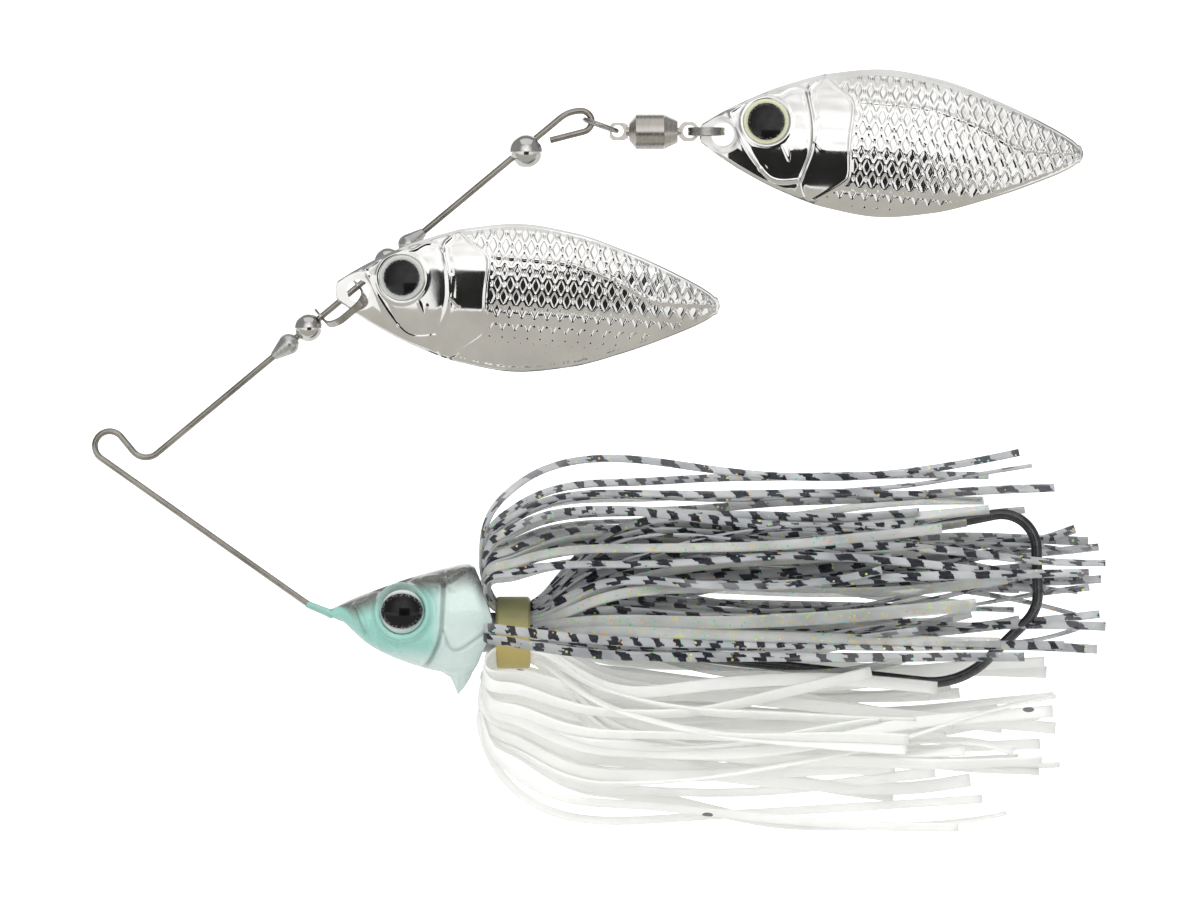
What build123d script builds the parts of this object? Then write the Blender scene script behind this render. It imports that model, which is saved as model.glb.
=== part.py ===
from build123d import *
import math
import os

# Spinnerbait, millimetres. +X runs to the rear, +Z up, the wire lies in Y = 0.
# Origin: centre of the open line-tie bend at the front of the wire.

# ---- wire form -------------------------------------------------------------
WIRE_D = 0.80
WIRE_R = WIRE_D / 2
TIE_R = 1.85            # centre-line radius of the line-tie bend
TIE_TURN = 195.2
STEP_R = 2.10           # bend between the tie and the upper arm
LOWER_ANGLE = 145.2     # heading of the lower arm, head to tie, in the X-Z plane
LOWER_END = (-1.056, -1.519)
UPPER_ANGLE = 39.75
ARM_X, ARM_Z = 15.06, 6.68      # a point on the upper arm's axis
LOOP_R1, LOOP_T1 = 4.0, 41.5    # run-in to the end loop
LOOP_R2 = 1.33                  # end loop
LOOP_X, LOOP_Z = 58.94, 40.57   # its centre
TAIL_ANGLE = 165.6
TAIL_LEN = 4.35

# ---- pieces on the upper arm (S = distance along the arm from ARM point) ---
STOP_R = 1.35
LOWER_STOP_S, UPPER_STOP_S = 9.50, 29.00
STOP_TAPER = 1.9
BEAD_R = 1.75
BEAD_BORE_R = WIRE_R + 0.05
LOWER_BEAD_S, UPPER_BEAD_S = 12.72, 25.67
LOCK_R, LOCK_BORE_R, LOCK_S, LOCK_DROP = 2.10, 0.95, 47.76, 0.44
EAR_R, EAR_T, EAR_BORE_R = 1.30, 0.30, WIRE_R + 0.06
EAR_S1, EAR_S2 = 14.84, 20.85
CLEVIS_DEPTH, CLEVIS_W, CLEVIS_BEND = 4.0, 0.90, 2.1
CLEVIS_LEAN = 60.0      # lean of the clevis towards -Y from the X-Z plane

# ---- blades ----------------------------------------------------------------
BLADE_T = 0.45
BLADE_RLONG, BLADE_RCROSS = 116.0, 23.4
BLADE_HOLE_X, BLADE_HOLE_R = 2.60, 1.40
BLADE_LEN = 47.8
HALF_WIDTHS = [(0.0, 1.2), (1.83, 2.45), (5.2, 4.4), (10.0, 6.6), (16.0, 8.45), (22.5, 9.25), (29.3, 8.4), (36.0, 6.35),
               (42.5, 3.7), (46.4, 1.7), (47.4, 0.85)]
EYE_DX, EYE_DZ, BLADE_EYE_R = 5.35, 1.9, 2.85
FRONT_TILT, REAR_TILT = 2.4, 3.2
FRONT_CROWN_Y, REAR_CROWN_Y = -4.05, -2.16
REAR_HOLE = (76.63, 38.95)

# ---- rings and swivel ------------------------------------------------------
LINK_A, LINK_B = (59.34, 40.81), (63.42, 39.36)     # where the link ring crosses Y = 0
LINK_WIRE_R = 0.30
SWIVEL_Z = 39.30
EYE1_X, EYE1_HOLE_R, EYE1_H = 63.50, 0.75, 2.2
EYE2_X, EYE2_HOLE_R, EYE2_H = 72.475, 0.80, 2.4
EYE_T = 0.70
SPLIT_X, SPLIT_R, SPLIT_WIRE = 74.60, 2.125, 0.50

# ---- head, hook, skirt -----------------------------------------------------
HEAD = [  # X, centre Z, half height, half width
    (27.6, -20.95, 0.55, 0.55), (28.8, -20.75, 0.95, 1.15), (30.3, -21.05, 1.95, 2.3), (32.06, -21.5, 3.1, 3.35),
    (34.2, -21.74, 4.12, 4.15), (36.3, -21.78, 4.94, 4.65), (38.3, -21.84, 5.6, 4.95), (40.44, -21.8, 6.24, 5.1),
    (42.4, -21.74, 6.62, 5.15), (44.2, -21.6, 6.85, 5.05), (45.5, -21.5, 6.2, 4.6), (46.44, -21.75, 4.6, 3.8),
    (47.3, -22.5, 2.9, 2.8)]
HEAD_EYE = (36.66, -20.66)
HEAD_EYE_R, SOCKET_R = 2.72, 3.30
HOOK_R = 0.675
HOOK_EYE = (37.9, -22.3)
AXIS_Z = -23.3
POST_R, POST_X0, POST_X1 = 2.5, 46.0, 55.0
COLLAR_R, COLLAR_BORE_R, COLLAR_X0, COLLAR_X1 = 4.5, 3.0, 48.3, 52.6
STRAND_W, STRAND_T = 1.0, 0.6

OUT = "parts"
os.makedirs(OUT, exist_ok=True)
VIEW = Vector(0, -1, 0)         # positive turns about this axis run from +X towards +Z


def turned(v, axis, degrees):
    a = math.radians(degrees)
    return v * math.cos(a) + axis.cross(v) * math.sin(a) + axis * (axis.dot(v) * (1 - math.cos(a)))


def heading(degrees):
    return Vector(math.cos(math.radians(degrees)), 0, math.sin(math.radians(degrees)))


def bent(points, radii, close=True):
    """Edges along the points with a tangent arc at each inner point, and where they end."""
    pts = [Vector(*p) for p in points]
    edges, here = [], pts[0]
    for i in range(1, len(pts) - 1):
        a = (pts[i] - pts[i - 1]).normalized()
        b = (pts[i + 1] - pts[i]).normalized()
        half = math.acos(max(-1.0, min(1.0, a.dot(b)))) / 2
        r = radii[i - 1]
        s, e = pts[i] - a * (r * math.tan(half)), pts[i] + b * (r * math.tan(half))
        mid = pts[i] + (b - a).normalized() * (r / math.cos(half) - r)
        assert (s - here).dot(a) > -1e-9, ("arcs overlap", i)
        if (s - here).length > 1e-6:
            edges.append(Edge.make_line(here, s))
        edges.append(Edge.make_three_point_arc(s, mid, e))
        here = e
    edges.append(Edge.make_line(here, pts[-1]))
    return edges


def arc(p, t, radius, degrees):
    """A tangent arc in the X-Z plane; positive turns from +X towards +Z."""
    axis = VIEW if degrees > 0 else -VIEW
    c = p + axis.cross(t) * radius
    m = c + turned(p - c, axis, abs(degrees) / 2)
    q = c + turned(p - c, axis, abs(degrees))
    return Edge.make_three_point_arc(p, m, q), q, turned(t, axis, abs(degrees))


def swept(edges, radius):
    path = Wire(edges)
    p, t = path @ 0, path % 0
    body = sweep(Plane(origin=p, z_dir=t) * Circle(radius), path=path)
    want = math.pi * radius ** 2 * path.length
    assert abs(body.volume / want - 1) < 0.01, (body.volume, want)
    return body


def save(shape, name, colour=None):
    solids = shape.solids() if hasattr(shape, "solids") else [s for x in shape for s in x.solids()]
    for s in solids:
        assert s.is_valid and s.volume > 0, name
    part = solids[0] if len(solids) == 1 else Compound(children=list(solids))
    part.label = name
    export_step(part, f"{OUT}/{name}.step")
    b = part.bounding_box()
    print(f"{name:24s} {len(solids):3d} solid(s)  {sum(s.volume for s in solids):9.3f} mm3  "
          f"x {b.min.X:7.2f} {b.max.X:7.2f}  y {b.min.Y:7.2f} {b.max.Y:7.2f}  z {b.min.Z:7.2f} {b.max.Z:7.2f}")


# ===== wire form ============================================================
u = heading(UPPER_ANGLE)
n = Vector(u.Z, 0, -u.X)                    # square to the arm, down and to the rear
arm0 = Vector(ARM_X, 0, ARM_Z)


def on_arm(s, drop=0.0, front=0.0):
    return arm0 + u * s + n * drop + Vector(0, -front, 0)


lower = bent([(HOOK_EYE[0], 1.8, HOOK_EYE[1]), (HOOK_EYE[0], -1.15, HOOK_EYE[1]), (34.6, -1.15, HOOK_EYE[1]),
              (31.2, 0, -22.38), (24.94, 0, -19.85), (LOWER_END[0], 0, LOWER_END[1])], [1.0, 2.0, 3.0, 5.0])
p = Vector(LOWER_END[0], 0, LOWER_END[1])
t = lower[-1] % 1
e1, p, t = arc(p, t, TIE_R, -TIE_TURN)
turn2 = UPPER_ANGLE - math.degrees(math.atan2(t.Z, t.X))


def past(m):
    """Distance from the arm's axis at which the step bend ends when the middle run is m long."""
    _, q, _ = arc(p + t * m, t, STEP_R, turn2)
    return (q - arm0).dot(n)


m0, m1 = past(0.0), past(1.0)
mid_len = -m0 / (m1 - m0)
assert 0.3 < mid_len < 4, mid_len
e2 = Edge.make_line(p, p + t * mid_len)
e3, q, t3 = arc(p + t * mid_len, t, STEP_R, turn2)
loop_c = Vector(LOOP_X, 0, LOOP_Z)
s_loop = (loop_c - arm0).dot(u) - (LOOP_R1 - LOOP_R2) * math.sin(math.radians(LOOP_T1))
r_end = on_arm(s_loop)
e4 = Edge.make_line(q, r_end)
e5, p5, t5 = arc(r_end, u, LOOP_R1, -LOOP_T1)
e6, p6, t6 = arc(p5, t5, LOOP_R2, -(UPPER_ANGLE + TAIL_ANGLE - LOOP_T1))
e7 = Edge.make_line(p6, p6 + t6 * TAIL_LEN)
wire = swept(lower + [e1, e2, e3, e4, e5, e6, e7], WIRE_R)
tail_end = p6 + t6 * TAIL_LEN
print("middle run", round(mid_len, 3), "arm ends at S", round(s_loop, 2), "tail end S", round((tail_end - arm0).dot(u), 2),
      "drop", round((tail_end - arm0).dot(n), 2))
save(wire, "wire_form")

arm_plane = Plane(origin=arm0, x_dir=n, z_dir=u)        # local z runs along the arm, local y = u x n = +Y


def along(s, shape):
    return Plane(origin=on_arm(s), x_dir=n, z_dir=u) * shape


def bored(r, length=12):
    return Cylinder(r, length)


def drop(s, way):
    ball = Sphere(STOP_R)
    cone = Pos(0, 0, way * (0.55 + STOP_TAPER / 2)) * Rot(0 if way > 0 else 180, 0, 0) * Cone(STOP_R * 0.905, 0.52, STOP_TAPER)
    return along(s, ball + cone - bored(WIRE_R))


save(drop(LOWER_STOP_S, -1), "lower_stopper")
save(drop(UPPER_STOP_S, 1), "upper_stopper")
save(along(LOWER_BEAD_S, Sphere(BEAD_R) - bored(BEAD_BORE_R)), "lower_bead")
save(along(UPPER_BEAD_S, Sphere(BEAD_R) - bored(BEAD_BORE_R)), "upper_bead")
save(Pos(*(n * LOCK_DROP)) * along(LOCK_S, Sphere(LOCK_R) - bored(LOCK_BORE_R)), "loop_lock_bead")

# ===== clevis ===============================================================
lean = math.radians(CLEVIS_LEAN)
b = n * math.cos(lean) + Vector(0, -1, 0) * math.sin(lean)     # from the arm to the clevis' belly
w = u.cross(b)                                                 # the clevis pin direction


def cl(s, d):
    return tuple(arm0 + u * s + b * d)


strip = bent([cl(EAR_S1, 0.95), cl(EAR_S1, CLEVIS_DEPTH), cl(EAR_S2, CLEVIS_DEPTH), cl(EAR_S2, 0.95)],
             [CLEVIS_BEND, CLEVIS_BEND])
sec = Plane(origin=Vector(*cl(EAR_S1, 0.95)), x_dir=w, z_dir=b) * Rectangle(CLEVIS_W, EAR_T)
clevis = sweep(sec, path=Wire(strip))
for s in (EAR_S1, EAR_S2):
    clevis = clevis + along(s, Cylinder(EAR_R, EAR_T))
for s in (EAR_S1, EAR_S2):
    clevis = clevis - along(s, Cylinder(EAR_BORE_R, 2))
save(clevis, "clevis")
print("clevis pin direction", [round(v, 5) for v in tuple(w)], "arm direction", [round(v, 5) for v in tuple(u)])
pivot = arm0 + u * 18.85 + b * 1.50
print("front blade pivot", [round(v, 3) for v in tuple(pivot)])


# ===== blades ===============================================================
def bowl(r_out, r_in):
    """A doubly curved slab: arcs of r_out and r_in across, turned about an axis BLADE_RLONG behind the crown."""
    mid = BLADE_LEN / 2 - BLADE_HOLE_X
    a = math.asin(11.2 / BLADE_RCROSS)

    def at(r, s):
        return (mid, BLADE_RCROSS - r * math.cos(s), r * math.sin(s))

    rim = [Edge.make_three_point_arc(at(r_out, -a), at(r_out, 0), at(r_out, a)), Edge.make_line(at(r_out, a), at(r_in, a)),
           Edge.make_three_point_arc(at(r_in, a), at(r_in, 0), at(r_in, -a)), Edge.make_line(at(r_in, -a), at(r_out, -a))]
    axis = Axis((mid, BLADE_RLONG, 0), (0, 0, 1))
    return revolve(Face(Wire(rim)).rotate(axis, -13.5), axis, 27)


def blade():
    """A willow blade in its own frame: hole at the origin, tip along +X, crown at Y = 0, hollow towards +Y."""
    x0 = -BLADE_HOLE_X
    up = [(x0 + x, h) for x, h in HALF_WIDTHS]
    down = [(x, -h) for x, h in reversed(up)]
    rim = [Spline(*up).edge(), ThreePointArc(up[-1], (x0 + BLADE_LEN, 0), down[0]).edge(), Spline(*down).edge(),
           ThreePointArc(down[-1], (x0 - 0.30, 0), up[0]).edge()]
    prism = extrude(Plane.XZ * make_face(Wire(rim)), 8, both=True)
    sheet = bowl(BLADE_RCROSS, BLADE_RCROSS - BLADE_T) & prism
    sheet = sheet - Rot(90, 0, 0) * Rot(0, 0, 37) * Cylinder(BLADE_HOLE_R, 20)
    # domed eye glued on the crown side, square to the surface there
    mid = x0 + BLADE_LEN / 2
    here = Vector(EYE_DX, (EYE_DX - mid) ** 2 / (2 * BLADE_RLONG) + EYE_DZ ** 2 / (2 * BLADE_RCROSS), EYE_DZ)
    out = Vector((EYE_DX - mid) / BLADE_RLONG, -1, EYE_DZ / BLADE_RCROSS).normalized()
    lift = 0.60
    ball_r = (BLADE_EYE_R ** 2 + lift ** 2) / (2 * lift)
    frame = Plane(origin=here, x_dir=Vector(0, 0, 1).cross(out), z_dir=out)
    lens = (frame * Cylinder(BLADE_EYE_R, 3)) & (frame * (Pos(0, 0, lift - ball_r) * Sphere(ball_r)))
    lens = lens & bowl(BLADE_RCROSS + 3, BLADE_RCROSS + 0.02)
    lens = max(lens.solids(), key=lambda s: s.volume)
    return sheet, lens


sheet, lens = blade()
front_hole = on_arm(20.45, 0.55)
front_at = Pos(front_hole.X, FRONT_CROWN_Y, front_hole.Z) * Rot(0, FRONT_TILT, 0)
rear_at = Pos(REAR_HOLE[0], REAR_CROWN_Y, REAR_HOLE[1]) * Rot(0, REAR_TILT, 0)
save(front_at * sheet, "front_blade")
save(front_at * lens, "front_blade_eye")
save(rear_at * sheet, "rear_blade")
save(rear_at * lens, "rear_blade_eye")

# ===== link ring ============================================================
ax, az = LINK_A
bx, bz = LINK_B
along_ring = Vector(bx - ax, 0, bz - az)
ring_r = along_ring.length / 2
ring_plane = Plane(origin=Vector((ax + bx) / 2, 0, (az + bz) / 2), x_dir=along_ring.normalized(),
                   z_dir=along_ring.normalized().cross(Vector(0, 1, 0)))
save(ring_plane * Torus(ring_r, LINK_WIRE_R), "link_ring")

# ===== swivel ===============================================================
axis_x = Plane(origin=(0, 0, SWIVEL_Z), x_dir=(0, 1, 0), z_dir=(1, 0, 0))      # local z = +X


def turning(points):
    """A turned piece: (x, radius) pairs about the swivel axis."""
    face = make_face(Polyline(*[(r, x) for x, r in points], close=True))
    solid = revolve(Plane.XZ * face, Axis.Z)
    return Plane(origin=(0, 0, SWIVEL_Z), x_dir=(0, 1, 0), z_dir=(1, 0, 0)) * solid


def eye_strip(x_hole, x_far, height, hole_r, way):
    """Flat eye in the X-Z plane with its hole along Y; way = -1 closes to the left, 1 to the right."""
    r = height / 2
    end = x_hole + way * (abs(x_far - x_hole))
    tip = Pos(x_hole, 0, SWIVEL_Z) * Rot(90, 0, 0) * Cylinder(r, EYE_T)
    return tip, end


barrel = turning([(64.95, 0.62), (64.95, 1.13), (65.80, 2.20), (69.30, 2.20), (69.30, 1.80), (66.15, 1.80), (66.15, 0.62)])
save(barrel, "swivel_barrel")
fixed = Pos(63.60, 0, SWIVEL_Z) * Box(2.2, EYE_T, EYE1_H)
fixed = (fixed & (Pos(63.62, 0, SWIVEL_Z) * Rot(90, 0, 0) * Cylinder(1.30, 2))) + Pos(64.35, 0, SWIVEL_Z) * Box(0.9, EYE_T, 1.8)
fixed = fixed + turning([(64.55, 0.0), (64.55, 0.60), (66.10, 0.60), (66.10, 0.0)])
fixed = fixed - Pos(EYE1_X, 0, LINK_B[1]) * Rot(90, 0, 0) * Cylinder(EYE1_HOLE_R, 4)
save(fixed, "swivel_fixed_eye")
cap = turning([(68.15, 0.56), (68.15, 1.76), (69.34, 1.76), (69.34, 2.20), (71.00, 1.40), (71.00, 0.56)])
save(cap, "swivel_end_cap")
rotor = turning([(66.55, 0.0), (66.55, 1.30), (67.18, 1.30), (67.18, 0.50), (71.45, 0.50), (71.45, 0.0)])
rotor = rotor + ((Pos(72.40, 0, SWIVEL_Z) * Box(2.5, EYE_T, EYE2_H)) & (Pos(72.36, 0, SWIVEL_Z) * Rot(90, 0, 0) * Cylinder(1.32, 2)))
rotor = rotor - Pos(EYE2_X, 0, SWIVEL_Z) * Rot(90, 0, 0) * Cylinder(EYE2_HOLE_R, 4)
save(rotor, "swivel_rotor")
balls = [Pos(67.66, 1.12 * math.cos(math.tau * i / 7), SWIVEL_Z + 1.12 * math.sin(math.tau * i / 7)) * Sphere(0.42) for i in range(7)]
save(Compound(children=balls), "swivel_bearing_balls")

# ===== split ring ===========================================================
half = SPLIT_WIRE / 2
coil = Rectangle(SPLIT_WIRE, 2 * SPLIT_WIRE)
ring = revolve(Plane.XZ * (Pos(SPLIT_R, 0) * coil), Axis.Z)
groove = revolve(Plane.XZ * (Pos(SPLIT_R + half, 0) * Rectangle(0.16, 0.10)), Axis.Z)
save(Pos(SPLIT_X, 0, SWIVEL_Z) * (ring - groove), "blade_split_ring")

# ===== hook =================================================================
shank_angle = math.atan(-0.113)
h0 = (HOOK_EYE[0] + 1.5 * math.cos(shank_angle), 0, HOOK_EYE[1] + 1.5 * math.sin(shank_angle))
bend_pts = [h0, (106.25, 0, -30.0), (116.1, 0, -20.5), (115.7, 0, -7.55), (103.0, 0, -10.12), (101.6, 0, -10.52)]
hook = swept(bent(bend_pts, [10.0, 5.0, 4.4, 3.0]), HOOK_R)
tip_dir = Vector(101.6 - 103.0, 0, -10.52 + 10.12).normalized()
tip_len = 4.05
base = Vector(101.6, 0, -10.52)
hook = hook + Plane(origin=base, z_dir=tip_dir) * (Pos(0, 0, tip_len / 2) * Cone(HOOK_R, 0.07, tip_len))
barb_at = base + tip_dir * 0.9
side = turned(tip_dir, VIEW, 90)
barb = make_face(Polyline((0, 0), (1.5, 0), (-0.35, 0.95), close=True))
barb_side = Plane(origin=barb_at + side * 0.28, x_dir=tip_dir, z_dir=tip_dir.cross(side))
hook = hook + barb_side * extrude(barb, 0.22, both=True)
hook = hook + Pos(HOOK_EYE[0], 0, HOOK_EYE[1]) * Rot(90, 0, 0) * Torus(1.5, 0.6)
save(hook, "hook")

# ===== head =================================================================
sections = []
for x, z, h, wd in HEAD:
    pl = Plane(origin=(x, 0, z), x_dir=(0, 1, 0), z_dir=(1, 0, 0))      # local x = Y, local y = Z
    sections.append(pl * (Circle(h) if abs(h - wd) < 1e-6 else (Ellipse(wd, h))))
head = loft(sections)
sleeve_dir = Vector(24.94 - 31.2, 0, -19.85 + 22.38).normalized()
sleeve_at = Vector(24.94, 0, -19.85) - sleeve_dir * 4.2
head = head + Plane(origin=sleeve_at, z_dir=sleeve_dir) * (Pos(0, 0, 1.7) * Cylinder(0.55, 3.4))
post = turning([(POST_X0, 0), (POST_X0, POST_R), (POST_X1 - 1.2, POST_R), (POST_X1 - 0.7, POST_R + 0.3), (POST_X1, 1.4), (POST_X1, 0)])
head = head + Pos(0, 0, AXIS_Z - SWIVEL_Z) * post
fin = make_face(Polyline((41.5, -27.4), (42.7, -28.75), (43.1, -29.6), (43.6, -30.9), (44.55, -29.8), (45.6, -27.7),
                         (45.2, -26.0), (42.5, -25.5), close=True))
head = head + Plane.XZ * extrude(fin, 1.3, both=True)
for side in (-1, 1):
    turn = Rot(90, 0, 0)
    head = head + Pos(HEAD_EYE[0], side * 4.0, HEAD_EYE[1]) * turn * Torus(SOCKET_R, 0.62)
    head = head - Pos(HEAD_EYE[0], side * (3.95 + 2.0), HEAD_EYE[1]) * turn * Cylinder(HEAD_EYE_R + 0.05, 4.0)
head = head - wire - hook
head_body = max(head.solids(), key=lambda s: s.volume)
print("head pieces", [round(s.volume, 3) for s in head.solids()])
save(head_body, "head_casting")
for side, name in ((-1, "head_eye_near"), (1, "head_eye_far")):
    lift, seat = 1.05, 3.98
    ball_r = (HEAD_EYE_R ** 2 + lift ** 2) / (2 * lift)
    rim = seat + 0.25
    body = Pos(HEAD_EYE[0], side * (seat + 1.0), HEAD_EYE[1]) * Rot(90, 0, 0) * Cylinder(HEAD_EYE_R, 2.0)
    body = body & (Pos(HEAD_EYE[0], side * (rim + lift - ball_r), HEAD_EYE[1]) * Sphere(ball_r))
    save(body, name)

# ===== skirt ================================================================
collar = Pos(0, 0, AXIS_Z - SWIVEL_Z) * turning([(COLLAR_X0, COLLAR_BORE_R), (COLLAR_X0, COLLAR_R - 0.3), (COLLAR_X0 + 0.3, COLLAR_R),
                                                 (COLLAR_X1 - 0.3, COLLAR_R), (COLLAR_X1, COLLAR_R - 0.3), (COLLAR_X1, COLLAR_BORE_R)])
save(collar, "skirt_collar")


def strand(angle, reach, tip_x, tip_r):
    """One strand in its own radial plane: leaves the collar outwards, turns back and runs to the rear."""
    a = math.radians(angle)
    out = Vector(0, -math.sin(a), math.cos(a))
    across = Vector(0, math.cos(a), math.sin(a))

    def at(x, r):
        return tuple(Vector(x, 0, AXIS_Z) + out * r)

    k = (reach - 5.2) / 17.3
    first = 5.2 + 6.6 * k
    pts = [at(48.0, 5.25), at(46.9 + 0.6 * (1 - k), first), at(55.5, reach - 0.4), at(72.0, reach), at(90.0, reach - 3.0 * k),
           at(tip_x, tip_r)]
    edges = bent(pts, [1.4 + 1.8 * k, 1.6 + 7.4 * k, 26.0, 30.0])
    path = Wire(edges)
    sec = Plane(origin=path @ 0, x_dir=across, z_dir=path % 0) * Rectangle(STRAND_W, STRAND_T)
    return sweep(sec, path=path)


def reach_at(angle):
    c, s = math.cos(math.radians(angle)), math.sin(math.radians(angle))
    rz = 22.6 if c > 0 else 24.8
    return 1 / math.hypot(c / rz, s / 10.8)


GROUPS = {
    "skirt_barred_near": [(12, 113.5), (32, 124.8), (54, 119.0)],
    "skirt_barred_far": [(-12, 117.5), (-32, 122.5), (-54, 116.0)],
    "skirt_clear_near": [(79, 115.5)],
    "skirt_clear_far": [(-79, 118.0)],
    "skirt_white_near": [(103, 110.0), (126, 120.0), (148, 112.0), (168, 109.0)],
    "skirt_white_far": [(-103, 114.0), (-126, 117.0), (-148, 108.0), (-168, 106.5)],
}
for name, rows in GROUPS.items():
    strands = [strand(a, reach_at(a), tip, reach_at(a) * (1.0 if abs(a) < 90 else 0.9)) for a, tip in rows]
    save(Compound(children=[x for s in strands for x in s.solids()]), name)
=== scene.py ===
import math
import random

import bpy
import numpy as np
from mathutils import Matrix, Vector


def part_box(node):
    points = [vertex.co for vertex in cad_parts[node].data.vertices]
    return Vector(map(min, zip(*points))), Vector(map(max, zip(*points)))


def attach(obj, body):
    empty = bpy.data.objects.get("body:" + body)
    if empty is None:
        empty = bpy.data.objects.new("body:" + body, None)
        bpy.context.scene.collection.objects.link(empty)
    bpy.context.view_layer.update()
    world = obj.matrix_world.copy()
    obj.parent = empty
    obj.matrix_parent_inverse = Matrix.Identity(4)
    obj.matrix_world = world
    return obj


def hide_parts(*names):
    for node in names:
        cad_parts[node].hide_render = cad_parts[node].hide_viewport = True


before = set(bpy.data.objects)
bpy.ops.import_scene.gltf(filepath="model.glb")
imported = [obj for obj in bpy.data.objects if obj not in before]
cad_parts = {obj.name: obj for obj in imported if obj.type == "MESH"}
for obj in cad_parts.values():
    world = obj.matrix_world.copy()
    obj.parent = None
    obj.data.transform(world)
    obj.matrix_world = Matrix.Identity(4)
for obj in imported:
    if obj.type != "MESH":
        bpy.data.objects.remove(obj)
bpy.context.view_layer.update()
random.seed(11)
RNG = np.random.default_rng(11)
MM = 0.001

# ---------------------------------------------------------------- helpers


def new_mesh(name, verts, faces, smooth=True, uvs=None, colours=None):
    """verts in millimetres in the row frame; uvs and colours are per vertex."""
    me = bpy.data.meshes.new(name)
    me.from_pydata([tuple(v) for v in np.asarray(verts, float) * MM], [], [tuple(int(i) for i in f) for f in faces])
    me.validate(clean_customdata=False)
    if smooth:
        me.polygons.foreach_set("use_smooth", [True] * len(me.polygons))
    if uvs is not None:
        layer = me.uv_layers.new(name="UVMap")
        idx = np.zeros(len(me.loops), np.int32)
        me.loops.foreach_get("vertex_index", idx)
        layer.data.foreach_set("uv", np.asarray(uvs, np.float32)[idx].ravel())
    if colours is not None:
        layer = me.color_attributes.new("paint", "FLOAT_COLOR", "POINT")
        c = np.ones((len(me.vertices), 4), np.float32)
        c[:, :colours.shape[1]] = colours
        layer.data.foreach_set("color", c.ravel())
    me.update()
    ob = bpy.data.objects.new(name, me)
    bpy.context.scene.collection.objects.link(ob)
    return ob


def grid_faces(rows, cols, wrap=False, offset=0, flip=False):
    out = []
    for i in range(rows - 1):
        for j in range(cols if wrap else cols - 1):
            a = offset + i * cols + j
            b = offset + i * cols + (j + 1) % cols
            f = (a, b, b + cols, a + cols)
            out.append(f[::-1] if flip else f)
    return out


def ramp(node, stops):
    """stops: (position, (r, g, b)) rows for a colour ramp node."""
    el = node.color_ramp.elements
    while len(el) > 1:
        el.remove(el[-1])
    el[0].position, el[0].color = stops[0][0], (*stops[0][1], 1)
    for p, c in stops[1:]:
        e = el.new(p)
        e.color = (*c, 1)
    return node


class Mat:
    """A small builder for a node material."""

    def __init__(self, name, **sockets):
        self.m = bpy.data.materials.new(name)
        self.m.use_nodes = True
        self.t = self.m.node_tree
        self.t.nodes.clear()
        self.out = self.t.nodes.new("ShaderNodeOutputMaterial")
        self.b = self.t.nodes.new("ShaderNodeBsdfPrincipled")
        self.t.links.new(self.b.outputs[0], self.out.inputs[0])
        for k, v in sockets.items():
            self.b.inputs[k.replace("_", " ")].default_value = v

    def node(self, kind, **props):
        n = self.t.nodes.new(kind)
        for k, v in props.items():
            setattr(n, k, v)
        return n

    def link(self, a, b):
        self.t.links.new(a, b)

    def coord(self, scale=(1, 1, 1), kind="Object", rotation=(0, 0, 0)):
        tc = self.node("ShaderNodeTexCoord")
        mp = self.node("ShaderNodeMapping")
        mp.inputs["Scale"].default_value = scale
        mp.inputs["Rotation"].default_value = rotation
        self.link(tc.outputs[kind], mp.inputs["Vector"])
        return mp.outputs[0]

    def noise(self, vec, scale, detail=4.0, rough=0.55):
        n = self.node("ShaderNodeTexNoise")
        n.inputs["Scale"].default_value = scale
        n.inputs["Detail"].default_value = detail
        n.inputs["Roughness"].default_value = rough
        self.link(vec, n.inputs["Vector"])
        return n.outputs["Fac"]

    def voronoi(self, vec, scale, feature="F1"):
        n = self.node("ShaderNodeTexVoronoi")
        n.feature = feature
        n.inputs["Scale"].default_value = scale
        self.link(vec, n.inputs["Vector"])
        return n

    def math(self, op, a, b=None, c=None, clamp=False):
        n = self.node("ShaderNodeMath", operation=op, use_clamp=clamp)
        for i, v in enumerate((a, b, c)):
            if v is None:
                continue
            if isinstance(v, (int, float)):
                n.inputs[i].default_value = v
            else:
                self.link(v, n.inputs[i])
        return n.outputs[0]

    def mix(self, fac, a, b):
        n = self.node("ShaderNodeMix", data_type="RGBA")
        if isinstance(fac, (int, float)):
            n.inputs[0].default_value = fac
        else:
            self.link(fac, n.inputs[0])
        for i, v in ((6, a), (7, b)):
            if isinstance(v, tuple):
                n.inputs[i].default_value = (*v, 1)
            else:
                self.link(v, n.inputs[i])
        return n.outputs[2]

    def map(self, v, lo, hi, a, b):
        n = self.node("ShaderNodeMapRange")
        for i, x in enumerate((v, lo, hi, a, b)):
            if isinstance(x, (int, float)):
                n.inputs[i].default_value = x
            else:
                self.link(x, n.inputs[i])
        return n.outputs[0]

    def bump(self, height, strength, distance):
        n = self.node("ShaderNodeBump")
        n.inputs["Strength"].default_value = strength
        n.inputs["Distance"].default_value = distance
        self.link(height, n.inputs["Height"])
        self.link(n.outputs[0], self.b.inputs["Normal"])
        return n

    def set(self, socket, value):
        self.link(value, self.b.inputs[socket])


def give(obj, mat):
    obj.data.materials.clear()
    obj.data.materials.append(mat)


# ---------------------------------------------------------------- materials


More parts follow.
